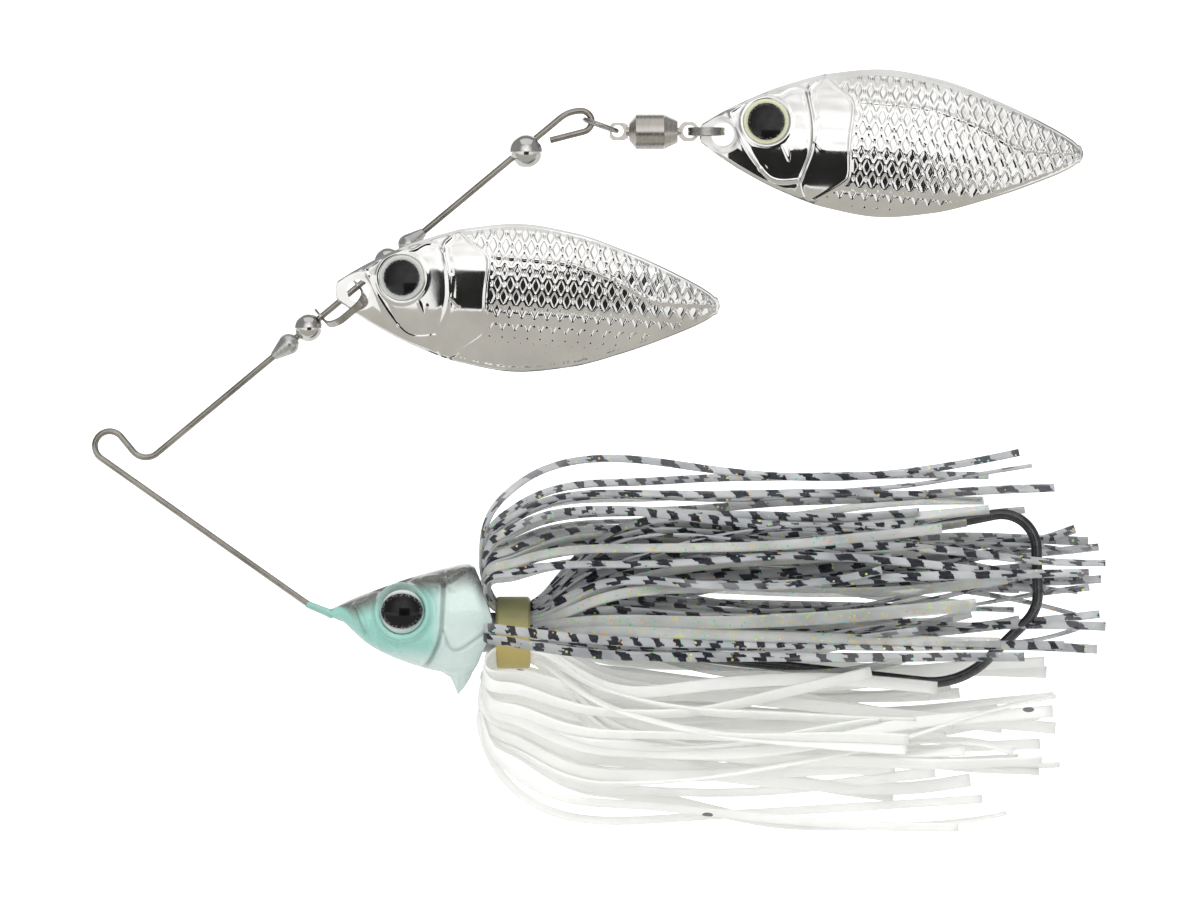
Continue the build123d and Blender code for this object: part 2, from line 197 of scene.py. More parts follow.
def metal(name, dark, light, rough, spread, scale=900.0, stretch=(1, 1, 1), bump=0.12, rotation=(0, 0, 0), dist=0.00002):
    """Plated or drawn metal: fine streaks and blotches in colour, roughness and bump."""
    m = Mat(name, Metallic=1.0)
    fine = m.noise(m.coord(stretch, rotation=rotation), scale, 5.0, 0.6)
    wide = m.noise(m.coord(), 160.0, 3.0, 0.5)
    both = m.math("ADD", m.math("MULTIPLY", fine, 0.6), m.math("MULTIPLY", wide, 0.4))
    m.set("Base Color", m.mix(m.map(both, 0.35, 0.65, 0.0, 1.0), dark, light))
    m.set("Roughness", m.map(both, 0.3, 0.7, rough, rough + spread))
    m.bump(fine, bump, dist)
    return m.m


WIRE = metal("wire_steel_drawn", (0.30, 0.28, 0.25), (0.52, 0.49, 0.445), 0.20, 0.14, 1400.0, (0.25, 1, 0.25))
NICKEL = metal("nickel_turned", (0.46, 0.435, 0.40), (0.64, 0.61, 0.565), 0.20, 0.14, 900.0, (7, 0.6, 0.6), 0.10)
RING = metal("ring_steel_bright", (0.36, 0.35, 0.335), (0.56, 0.545, 0.52), 0.18, 0.12, 1600.0)
SOLDER = metal("solder_drop", (0.50, 0.50, 0.49), (0.72, 0.72, 0.70), 0.16, 0.2, 500.0, bump=0.25)
BEADM = metal("bead_plated", (0.58, 0.57, 0.55), (0.78, 0.77, 0.74), 0.06, 0.08, 600.0, bump=0.08)
CLEVISM = metal("clevis_stamped", (0.36, 0.345, 0.32), (0.58, 0.56, 0.53), 0.14, 0.14, 900.0)
HOOKM = metal("hook_black_nickel", (0.075, 0.075, 0.08), (0.16, 0.16, 0.168), 0.16, 0.16, 1100.0, (0.4, 1, 1), 0.15)


def chrome_blade(name, lean):
    """Mirror plating. lean: how far the sheet's face leans down or up, as a slope."""
    m = Mat(name, Metallic=1.0)
    v = m.coord()
    fine = m.noise(v, 2600.0, 3.0)
    haze = m.noise(v, 210.0, 4.0)
    m.set("Base Color", m.mix(m.map(haze, 0.35, 0.7, 0.0, 1.0), (0.80, 0.79, 0.775), (0.90, 0.895, 0.88)))
    m.set("Roughness", m.map(haze, 0.3, 0.75, 0.035, 0.10))
    tc = m.node("ShaderNodeTexCoord")
    sep = m.node("ShaderNodeSeparateXYZ")
    m.link(tc.outputs["Object"], sep.inputs[0])
    height = m.math("ADD", m.math("MULTIPLY", sep.outputs[2], lean), m.math("MULTIPLY", fine, 0.0000005))
    m.bump(height, 1.0, 1.0)
    return m.m


BLADE = {"front_blade": chrome_blade("blade_mirror_chrome_front", 0.15), "rear_blade": chrome_blade("blade_mirror_chrome_rear", 0.0)}


def eye_material(name, centre, rings, tilt_scale=(1.0, 1.0)):
    """Painted eye under a clear dome: colours by distance from the centre in X-Z, with fine radial and cloudy variation."""
    m = Mat(name, Roughness=0.22)
    m.b.inputs["Specular IOR Level"].default_value = 0.18
    m.b.inputs["Coat Weight"].default_value = 0.42
    m.b.inputs["Coat Roughness"].default_value = 0.05
    tc = m.node("ShaderNodeTexCoord")
    sub = m.node("ShaderNodeVectorMath", operation="SUBTRACT")
    m.link(tc.outputs["Object"], sub.inputs[0])
    sub.inputs[1].default_value = Vector(centre) * MM
    mul = m.node("ShaderNodeVectorMath", operation="MULTIPLY")
    m.link(sub.outputs[0], mul.inputs[0])
    mul.inputs[1].default_value = (tilt_scale[0], 0.0, tilt_scale[1])
    ln = m.node("ShaderNodeVectorMath", operation="LENGTH")
    m.link(mul.outputs[0], ln.inputs[0])
    grain = m.noise(tc.outputs["Object"], 2200.0, 3.0)
    r = m.math("ADD", ln.outputs["Value"], m.math("MULTIPLY", m.math("SUBTRACT", grain, 0.5), 0.00012))
    fac = m.map(r, 0.0, 0.003, 0.0, 1.0)
    rp = m.node("ShaderNodeValToRGB")
    ramp(rp, rings)
    m.link(fac, rp.inputs[0])
    spark = m.voronoi(tc.outputs["Object"], 3800.0)
    tint = m.mix(m.map(spark.outputs["Distance"], 0.0, 0.6, 0.25, 0.0), rp.outputs[0], (0.75, 0.78, 0.74))
    near_rim = m.map(fac, 0.66, 0.75, 0.0, 1.0)
    m.set("Base Color", m.mix(near_rim, rp.outputs[0], tint))
    m.bump(grain, 0.04, 0.00001)
    return m.m


def skirt_material(name, base, shade, alpha, bars=0, flakes=0.0, specks=0.0, glow=0.0):
    """Silicone strand. UV: U = millimetres along the strand (with an offset), V = 0..1 across it."""
    m = Mat(name, Roughness=0.34)
    m.b.inputs["IOR"].default_value = 1.41
    m.b.inputs["Alpha"].default_value = alpha
    # emission of strength glow: painted light standing in for light shining through the strand, which also flattens its
    # shading
    m.b.inputs["Emission Color"].default_value = (1.0, 1.0, 0.97, 1)
    m.b.inputs["Emission Strength"].default_value = glow
    m.b.inputs["Subsurface Weight"].default_value = 0.5
    m.b.inputs["Subsurface Radius"].default_value = (0.9, 0.9, 0.85)
    m.b.inputs["Subsurface Scale"].default_value = 0.0008
    m.b.inputs["Specular IOR Level"].default_value = 0.6
    uv = m.node("ShaderNodeUVMap", uv_map="UVMap")
    sep = m.node("ShaderNodeSeparateXYZ")
    m.link(uv.outputs[0], sep.inputs[0])
    u, v = sep.outputs[0], sep.outputs[1]
    obj = m.coord()
    cloud = m.noise(obj, 130.0, 3.0)
    streak = m.noise(m.coord((0.06, 1, 1)), 1500.0, 3.0)
    colour = m.mix(m.map(cloud, 0.35, 0.65, 0.0, 1.0), shade, base)
    # the strand edges are pulled towards the shade colour: painted shade where the rounded edges turn away from the
    # light
    edge = m.math("ABSOLUTE", m.math("SUBTRACT", v, 0.5))
    colour = m.mix(m.map(edge, 0.30, 0.5, 0.0, 0.35), colour, shade)
    if bars:
        # slanted dark bars, drifting from one edge to the other, some of them broken up
        skew = m.math("MULTIPLY", m.math("SUBTRACT", v, 0.5), 0.26)
        wob = m.math("MULTIPLY", m.math("SUBTRACT", m.noise(uv.outputs[0], 0.9, 2.0), 0.5), 0.55)
        phase = m.math("FRACT", m.math("ADD", m.math("ADD", m.math("DIVIDE", u, bars), skew), wob))
        ragged = m.math("MULTIPLY", m.math("SUBTRACT", m.noise(uv.outputs[0], 3.0, 2.0), 0.5), 0.07)
        inside = m.math("LESS_THAN", m.math("ABSOLUTE", m.math("SUBTRACT", m.math("ADD", phase, ragged), 0.5)), 0.195)
        half = m.math("MULTIPLY", m.math("LESS_THAN", v, 0.5), m.map(m.noise(uv.outputs[0], 0.06, 1.0), 0.48, 0.54, 0.0, 0.30))
        phase = m.math("FRACT", m.math("ADD", phase, half))
        inside = m.math("LESS_THAN", m.math("ABSOLUTE", m.math("SUBTRACT", m.math("ADD", phase, ragged), 0.5)), 0.20)
        drift = m.math("MULTIPLY", m.math("SUBTRACT", m.noise(uv.outputs[0], 0.35, 1.0), 0.5), 0.8)
        across = m.math("LESS_THAN", m.math("ABSOLUTE", m.math("SUBTRACT", m.math("ADD", v, drift), 0.5)), 0.46)
        # the print fades out over stretches of some strands
        fade = m.map(m.noise(m.coord((1, 1, 1), "UV"), 0.045, 1.0), 0.30, 0.38, 0.2, 1.0)
        mask = m.math("MULTIPLY", m.math("MULTIPLY", inside, across), fade)
        colour = m.mix(mask, colour, (0.010, 0.012, 0.024))
    if specks:
        spots = m.voronoi(m.coord((0.45, 1, 1)), specks)
        spots.inputs["Randomness"].default_value = 1.0
        hit = m.math("LESS_THAN", spots.outputs["Distance"], 0.062)
        colour = m.mix(hit, colour, (0.03, 0.03, 0.04))
    if flakes:
        vo = m.voronoi(obj, 1750.0)
        small = m.math("LESS_THAN", vo.outputs["Distance"], 0.29)
        pick = m.node("ShaderNodeSeparateColor")
        m.link(vo.outputs["Color"], pick.inputs[0])
        chosen = m.math("MULTIPLY", small, m.math("LESS_THAN", pick.outputs[0], flakes))
        rp = m.node("ShaderNodeValToRGB")
        ramp(rp, [(0.0, (0.05, 0.75, 0.30)), (0.35, (0.75, 0.80, 0.10)), (0.6, (0.95, 0.45, 0.12)), (0.8, (0.10, 0.65, 0.70)),
                  (1.0, (0.95, 0.80, 0.35))])
        m.link(pick.outputs[1], rp.inputs[0])
        colour = m.mix(chosen, colour, rp.outputs[0])
    m.set("Base Color", colour)
    m.set("Roughness", m.map(streak, 0.3, 0.7, 0.24, 0.46))
    m.bump(streak, 0.25, 0.00004)
    return m.m


BARRED = skirt_material("silicone_barred", (0.60, 0.61, 0.62), (0.36, 0.37, 0.385), 0.76, bars=4.4, flakes=0.14)
CLEAR = skirt_material("silicone_clear_flake", (0.66, 0.665, 0.66), (0.46, 0.47, 0.475), 0.62, flakes=0.95)
# the white strands get a small glow: painted light in place of the light that shines through them
WHITE = skirt_material("silicone_white", (0.85, 0.855, 0.83), (0.78, 0.785, 0.765), 0.88, specks=190.0, glow=0.115)


def head_material():
    """Pearl paint over the casting: zone colours come from the mesh, with fine pearl, cloud and wear on top."""
    m = Mat("head_pearl_paint", Roughness=0.26)
    m.b.inputs["Coat Weight"].default_value = 0.85
    m.b.inputs["Coat Roughness"].default_value = 0.06
    at = m.node("ShaderNodeAttribute", attribute_name="paint")
    obj = m.coord()
    pearl = m.voronoi(obj, 5200.0)
    cloud = m.noise(obj, 230.0, 4.0)
    c = m.mix(m.map(pearl.outputs["Distance"], 0.0, 0.7, 0.16, 0.0), at.outputs["Color"], (0.80, 0.86, 0.83))
    c = m.mix(m.map(cloud, 0.3, 0.75, 0.0, 0.10), c, (0.62, 0.74, 0.72))
    m.set("Base Color", c)
    m.set("Roughness", m.map(cloud, 0.3, 0.7, 0.22, 0.36))
    m.bump(m.noise(obj, 900.0, 3.0), 0.06, 0.00003)
    return m.m


HEADM = head_material()


def collar_material():
    m = Mat("collar_rubber", Roughness=0.42)
    m.b.inputs["Subsurface Weight"].default_value = 0.2
    m.b.inputs["Subsurface Radius"].default_value = (1.0, 0.9, 0.5)
    m.b.inputs["Subsurface Scale"].default_value = 0.001
    tc = m.node("ShaderNodeTexCoord")
    sep = m.node("ShaderNodeSeparateXYZ")
    m.link(tc.outputs["Object"], sep.inputs[0])
    # the upper part of the collar is mixed from amber towards dark olive: painted shade over its top, with random cloud
    # mixed in
    lift = m.map(sep.outputs[2], -0.0240, -0.0212, 0.0, 1.0)
    cloud = m.noise(tc.outputs["Object"], 420.0, 4.0)
    fac = m.math("ADD", lift, m.math("MULTIPLY", m.math("SUBTRACT", cloud, 0.5), 0.35), clamp=True)
    m.set("Base Color", m.mix(fac, (0.58, 0.48, 0.17), (0.24, 0.235, 0.11)))
    m.set("Roughness", m.map(cloud, 0.3, 0.7, 0.34, 0.55))
    m.bump(m.noise(m.coord((18, 1, 1)), 240.0, 2.0), 0.3, 0.00006)
    return m.m


COLLAR = collar_material()

# ---------------------------------------------------------------- metal pieces kept from the frame

for node, mat in {
    "wire_form": WIRE, "lower_stopper": SOLDER, "upper_stopper": SOLDER, "lower_bead": BEADM, "upper_bead": BEADM,
    "loop_lock_bead": BEADM, "clevis": CLEVISM, "link_ring": RING, "blade_split_ring": RING, "swivel_barrel": NICKEL,
    "swivel_end_cap": NICKEL, "swivel_fixed_eye": NICKEL, "swivel_rotor": NICKEL, "swivel_bearing_balls": BEADM,
    "hook": HOOKM, "skirt_collar": COLLAR,
}.items():
    give(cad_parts[node], mat)

# ---------------------------------------------------------------- blades (millimetres, hole at the origin, tip along +X)

LEN, HOLE_X, HOLE_R, THICK = 47.8, 2.60, 1.40, 0.45
R_LONG, R_CROSS = 116.0, 23.4
WIDTHS = [(-0.12, 0.0), (0.0, 1.2), (1.83, 2.45), (5.2, 4.4), (10.0, 6.6), (16.0, 8.45), (22.5, 9.25), (29.3, 8.4), (36.0, 6.35),
          (42.5, 3.7), (46.4, 1.7), (47.4, 0.85), (47.8, 0.0)]
JAW = [(0.81, 2.54), (1.64, 0.72), (3.21, -1.78), (5.07, -4.12)]
LOWER_JAW = [(5.07, -4.12), (6.28, -5.2), (7.73, -5.48), (9.73, -5.15)]
CROWN = [(0.8, 2.83), (1.9, 3.61), (3.69, 5.15), (5.11, 5.44), (6.7, 5.32), (7.8, 6.17), (8.79, 6.44), (9.81, 6.21), (10.42, 5.52)]
PREOP = [(11.33, 7.3), (10.24, 6.23), (10.62, 4.53), (11.08, 2.83), (11.32, 0.98), (11.3, -1.18), (10.63, -3.38), (9.94, -5.14),
         (9.92, -6.0), (10.58, -7.55)]
GILL = [(12.17, 8.12), (14.14, 6.35), (16.08, 5.21), (16.12, 3.12), (15.9, 1.02), (15.85, -1.07), (16.12, -4.39), (15.42, -5.26),
        (13.41, -6.63), (11.59, -7.77)]
LATERAL = [(15.94, 5.07), (22.83, 4.8), (26.45, 4.52), (29.79, 3.39), (32.8, 2.25), (35.16, 0.91), (37.5, 0.06), (44.37, 0.12)]
NOTCHES = [[(7.59, -1.11), (8.44, -2.82), (8.53, -1.48)], [(11.66, 2.4), (11.66, 0.79), (11.47, -0.27), (12.52, -1.25)]]
BLADE_EYE = (5.35, 1.9)


def seg_dist(x, z, pts):
    best = np.full(x.shape, 1e9)
    for (ax, az), (bx, bz) in zip(pts[:-1], pts[1:]):
        dx, dz = bx - ax, bz - az
        t = np.clip(((x - ax) * dx + (z - az) * dz) / (dx * dx + dz * dz), 0, 1)
        best = np.minimum(best, np.hypot(x - ax - t * dx, z - az - t * dz))
    return best


def smoothstep(a, b, x):
    t = np.clip((x - a) / (b - a), 0, 1)
    return t * t * (3 - 2 * t)


def round_pts(pts, n=3):
    """Chaikin rounding of an open line, ends kept."""
    p = np.array(pts, float)
    for _ in range(n):
        q = np.empty((2 * len(p) - 2, 2))
        q[0::2] = p[:-1] * 0.75 + p[1:] * 0.25
        q[1::2] = p[:-1] * 0.25 + p[1:] * 0.75
        p = np.vstack([p[:1], q, p[-1:]])
    return p


def pchip(xs, ys, x):
    """Monotone cubic through the points, so an outline never overshoots."""
    xs, ys = np.array(xs, float), np.array(ys, float)
    h, d = np.diff(xs), np.diff(ys) / np.diff(xs)
    m = np.zeros(len(xs))
    m[1:-1] = np.where(d[:-1] * d[1:] > 0, 2 * d[:-1] * d[1:] / np.where(d[:-1] + d[1:] == 0, 1, d[:-1] + d[1:]), 0)
    m[0], m[-1] = d[0], d[-1]
    i = np.clip(np.searchsorted(xs, x) - 1, 0, len(xs) - 2)
    t = (x - xs[i]) / h[i]
    return ((2 * t**3 - 3 * t**2 + 1) * ys[i] + (t**3 - 2 * t**2 + t) * h[i] * m[i] + (-2 * t**3 + 3 * t**2) * ys[i + 1]
            + (t**3 - t**2) * h[i] * m[i + 1])


def half_width(x):
    """Half width at x from the nose, with both ends rounded."""
    w = pchip([a for a, _ in WIDTHS[1:-1]], [b for _, b in WIDTHS[1:-1]], np.clip(x, 0, 47.4))
    nose = np.sqrt(np.clip(2.55**2 - (2.55 - np.clip(x + 0.30, 0, 2.55)) ** 2, 0, None))
    tip = np.sqrt(np.clip(1 - ((x - 47.0) / 0.80) ** 2, 0, 1)) * 1.2
    w = np.where(x < 0.0, nose, w)
    return np.where(x > 47.0, np.minimum(tip, np.interp(x, [47.0, 47.4, 47.8], [1.2, 0.95, 0.0]) + 0.2 * (x < 47.75)), w)


def relief(x, z, edge):
    """Height of the embossing, towards the eye side. edge is the distance in from the rim."""
    h = np.zeros_like(x)
    gx = np.interp(-z, [-p[1] for p in GILL], [p[0] for p in GILL])
    gill = round_pts(GILL)
    scale_zone = smoothstep(0.15, 0.75, x - gx)
    for line, amp, wid in ((JAW, 0.065, 0.16), (LOWER_JAW, 0.06, 0.16), (CROWN, 0.065, 0.16), (PREOP, 0.085, 0.17)):
        d = seg_dist(x, z, round_pts(line, 2))
        h += amp * np.exp(-(d / wid) ** 2) - 0.25 * amp * np.exp(-((d - 0.5) / 0.3) ** 2)
    for line in NOTCHES:
        h += 0.06 * np.exp(-(seg_dist(x, z, line) / 0.16) ** 2)
    h += 0.08 * np.exp(-(seg_dist(x, z, gill) / 0.17) ** 2) + 0.12 * (1 - scale_zone) * smoothstep(-2.0, 1.0, x)
    # scales: almond cells in a staggered lattice, each a low cushion inside a raised outline
    w, H = 1.58, 3.16
    zz = z + 0.03 * (x - 20)
    a, b = x / w + zz / H, x / w - zz / H
    f, g = 2 * np.abs(a - np.floor(a) - 0.5), 2 * np.abs(b - np.floor(b) - 0.5)
    m = (f**5 + g**5) ** 0.2
    cell = np.clip(1 - m**3, 0, 1)
    lip = np.exp(-((m - 0.86) / 0.21) ** 2)
    rim = smoothstep(0.35, 0.9, edge)
    h += scale_zone * rim * (0.06 * cell + 0.125 * lip)
    lat = seg_dist(x, z, round_pts(LATERAL, 3))
    h += scale_zone * (0.10 * np.exp(-(lat / 0.24) ** 2))
    ring = np.hypot(x - BLADE_EYE[0], z - BLADE_EYE[1])
    h += 0.06 * np.exp(-((ring - 3.15) / 0.2) ** 2)
    hole = np.hypot(x, z)
    h *= smoothstep(1.5, 2.5, hole)
    h *= smoothstep(2.7, 2.95, ring) if True else 1
    return h * smoothstep(0.0, 0.5, edge)


def blade_mesh(name, node, crown_y, hole_x, hole_z, tilt, body):
    nx, nz = 470, 164
    t = np.linspace(0, 1, nx)
    # closer columns at both ends, where the outline turns
    x_nose = -0.30 + (LEN + 0.30) * (t + 0.0) - 0.0
    x_nose = -0.30 + (LEN + 0.30) * (0.5 - 0.5 * np.cos(math.pi * np.clip(t, 0, 1))) * 0.25 + (LEN + 0.30) * t * 0.75
    x_nose = np.maximum(x_nose, -0.27 + 0.0005 * np.arange(nx))
    x_nose[-1] = LEN - 0.004
    s = np.linspace(-1, 1, nz)
    hw = np.maximum(half_width(x_nose), 0.02)
    X = np.repeat(x_nose[:, None], nz, 1) - HOLE_X
    Z = hw[:, None] * s[None, :]
    edge = np.minimum(hw[:, None] * (1 - np.abs(s))[None, :], np.minimum(x_nose + 0.3, LEN - x_nose)[:, None] * 0.9)
    # open the hole: the middle faces go and the ring of points round them opens out to the hole's wall
    r = np.hypot(X, Z)
    r_out = 2.45
    keep = r > 0.42
    ang = np.arctan2(Z, X)
    gone = ~keep
    rim = np.zeros_like(gone)
    for di in (-1, 0, 1):
        for dj in (-1, 0, 1):
            rim |= np.roll(np.roll(gone, di, 0), dj, 1)
    rim &= keep
    new_r = np.where(r < r_out, HOLE_R + (r - 0.42) * (r_out - HOLE_R) / (r_out - 0.42), r)
    new_r = np.where(rim, HOLE_R, new_r)
    X2, Z2 = new_r * np.cos(ang), new_r * np.sin(ang)
    mid = LEN / 2 - HOLE_X
    # the doubly curved sheet: circle of R_CROSS across, turned about an axis R_LONG behind the crown

    def bowl(x, z, depth):
        rad = R_LONG - R_CROSS + np.sqrt(np.clip((R_CROSS - depth) ** 2 - z**2, 0, None))
        return R_LONG - np.sqrt(np.clip(rad**2 - (x - mid) ** 2, 0, None))

    h = relief(X2, Z2, edge)
    front = bowl(X2, Z2, 0.0) - h
    back = bowl(X2, Z2, THICK) - 0.8 * h
    bevel = 0.07 * (1 - smoothstep(0.0, 0.22, edge))
    front, back = front + bevel, back - bevel
    c, sn = math.cos(math.radians(tilt)), math.sin(math.radians(tilt))

    def place(y):
        gx = hole_x + X2 * c + Z2 * sn
        gz = hole_z - X2 * sn + Z2 * c
        return np.stack([gx, y + crown_y, gz], -1).reshape(-1, 3)

    n = nx * nz
    verts = np.vstack([place(front), place(back)])
    used = keep.reshape(-1)
    faces = []
    for i in range(nx - 1):
        for j in range(nz - 1):
            q = (i * nz + j, i * nz + j + 1, (i + 1) * nz + j + 1, (i + 1) * nz + j)
            if all(used[k] for k in q):
                faces.append(q[::-1])
                faces.append(tuple(k + n for k in q))
    # walls along every open edge of the front sheet
    count = {}
    for f in faces:
        if f[0] < n:
            for a, b in zip(f, f[1:] + f[:1]):
                count[(a, b)] = count.get((a, b), 0) + 1
    for a, b in list(count):
        if (b, a) not in count:
            faces.append((b, a, a + n, b + n))
    live = sorted(set(i for f in faces for i in f))
    remap = {v: k for k, v in enumerate(live)}
    ob = new_mesh(name, verts[live], [tuple(remap[i] for i in f) for f in faces])
    give(ob, BLADE[node])
    mod = ob.modifiers.new("edge", "EDGE_SPLIT")
    mod.split_angle = math.radians(50)
    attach(ob, body)
    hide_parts(node)
    return ob


def lens_mesh(name, node, centre, normal, radius, lift, base, mat, body, squash=1.0):
    """A domed disc: flat seat, short wall and a dome with a fine roll at its edge."""
    nrm = Vector(normal).normalized()
    side = Vector((0, 0, 1)).cross(nrm).normalized()
    up = nrm.cross(side)
    rings = [(0.0, -base), (1.0, -base), (1.0, 0.0), (0.985, 0.03), (0.955, 0.075)]
    verts, seg = [], 96
    profile = [(radius * 1.0, -base), (radius, 0.0), (radius * 0.992, 0.05), (radius * 0.975, 0.10)]
    ball = ((radius * 0.95) ** 2 + (lift - 0.14) ** 2) / (2 * (lift - 0.14))
    for k in range(0, 21):
        rr = radius * 0.95 * (1 - k / 20.0)
        profile.append((rr, 0.14 + math.sqrt(max(ball**2 - rr**2, 0)) - (ball - (lift - 0.14))))
    c = Vector(centre)
    for rr, hh in profile[:-1]:
        for j in range(seg):
            a = math.tau * j / seg
            verts.append(c + side * (rr * math.cos(a)) + up * (rr * math.sin(a) * squash) + nrm * hh)
    faces = grid_faces(len(profile) - 1, seg, wrap=True)
    top = len(verts)
    verts.append(c + nrm * profile[-1][1])
    last = (len(profile) - 2) * seg
    faces += [(last + j, last + (j + 1) % seg, top) for j in range(seg)]
    bottom = len(verts)
    verts.append(c - nrm * base)
    faces += [((j + 1) % seg, j, bottom) for j in range(seg)]
    ob = new_mesh(name, [tuple(v) for v in verts], faces)
    give(ob, mat)
    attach(ob, body)
    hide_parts(node)
    return ob


def centre_of(node):
    lo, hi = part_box(node)
    return (lo + hi) / 2 * 1000


for label, node, eye_node, crown_y, tilt, body, rings in (
    ("front_blade_shell", "front_blade", "front_blade_eye", -4.05, 2.4, "front_blade",
     [(0.0, (0.004, 0.004, 0.005)), (0.73, (0.006, 0.006, 0.007)), (0.765, (0.34, 0.35, 0.34)), (0.90, (0.56, 0.57, 0.54)), (1.0, (0.30, 0.31, 0.29))]),
    ("rear_blade_shell", "rear_blade", "rear_blade_eye", -2.16, 3.2, "rear_blade",
     [(0.0, (0.004, 0.004, 0.005)), (0.755, (0.006, 0.006, 0.006)), (0.79, (0.44, 0.45, 0.28)), (0.90, (0.66, 0.67, 0.48)), (1.0, (0.40, 0.41, 0.29))]),
):
    lo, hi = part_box(node)
    # the hole sits a fixed way behind the nose along the blade's own axis
    c, sn = math.cos(math.radians(tilt)), math.sin(math.radians(tilt))
    mid = (lo + hi) / 2 * 1000
    half = (LEN - 0.30) / 2 - HOLE_X
    hole_x = lo.x * 1000 + (HOLE_X + 0.30) * c
    hole_z = {"front_blade": 0.0, "rear_blade": 0.0}[node] + mid.z + 19.9 * sn
    blade_mesh(label, node, crown_y, hole_x, hole_z, tilt, body)
    ex, ez = BLADE_EYE
    m0 = LEN / 2 - HOLE_X
    y = (ex - m0) ** 2 / (2 * R_LONG) + ez**2 / (2 * R_CROSS)
    cx, cz = hole_x + ex * c + ez * sn, hole_z - ex * sn + ez * c
    slope_x, slope_z = (ex - m0) / R_LONG, ez / R_CROSS
    normal = (slope_x * c + slope_z * sn, -1.0, -slope_x * sn + slope_z * c)
    eye_mat = eye_material(label + "_eye_paint", (cx, 0, cz), rings)
    lens_mesh(label + "_eye", eye_node, (cx, crown_y + y, cz), normal, 2.85, 0.62, 0.12, eye_mat, body)
    print("blade", node, "hole", round(hole_x, 2), round(hole_z, 2))

# ---------------------------------------------------------------- head

TOP = [(27.6, -20.42), (28.8, -19.85), (30.3, -19.1), (32.06, -18.4), (34.2, -17.6), (36.3, -16.84), (38.3, -16.2), (40.44, -15.6),
       (42.4, -15.12), (44.2, -14.72), (45.0, -14.68), (45.5, -14.9)]
LOW = [(27.6, -21.45), (28.8, -21.75), (30.3, -23.0), (32.06, -24.6), (34.2, -25.85), (36.3, -26.75), (38.3, -27.45), (40.44, -28.05),
       (42.4, -28.3), (44.2, -28.35), (45.0, -28.2), (45.5, -27.8)]
SIDE = [(27.6, 0.55), (28.8, 1.2), (30.3, 2.3), (32.06, 3.35), (34.2, 4.15), (36.3, 4.65), (38.3, 4.95), (40.44, 5.12), (42.4, 5.2),
        (44.2, 5.12), (45.0, 5.0), (45.5, 4.85)]
REAR = [(-31.0, 45.45), (-28.2, 45.5), (-27.4, 45.85), (-25.6, 46.6), (-23.8, 47.5), (-21.7, 47.86), (-20.25, 47.4), (-17.1, 46.35), (-14.6, 45.35)]
GILL_CREASE = [(41.78, -17.22), (41.69, -20.5), (41.47, -23.94), (40.38, -26.44), (39.38, -27.69)]
PLATE_V = [(41.78, -23.16), (42.94, -26.12), (46.94, -23.31)]
FOLD1 = [(39.59, -16.81), (41.31, -16.75), (41.94, -17.53), (44.28, -15.88)]
FOLD2 = [(41.94, -17.53), (43.03, -18.31)]
MOUTH1 = [(30.75, -20.44), (31.16, -21.75), (32.0, -23.31)]
MOUTH2 = [(31.06, -20.12), (32.0, -22.06), (32.62, -23.94)]
LIP = [(30.75, -20.12), (31.62, -19.72), (32.94, -19.0)]
EYE_C = centre_of("head_eye_near")
EYE_X, EYE_Z = EYE_C.x, EYE_C.z


def table(rows, x):
    return pchip([a for a, _ in rows], [b for _, b in rows], np.asarray(x, float))


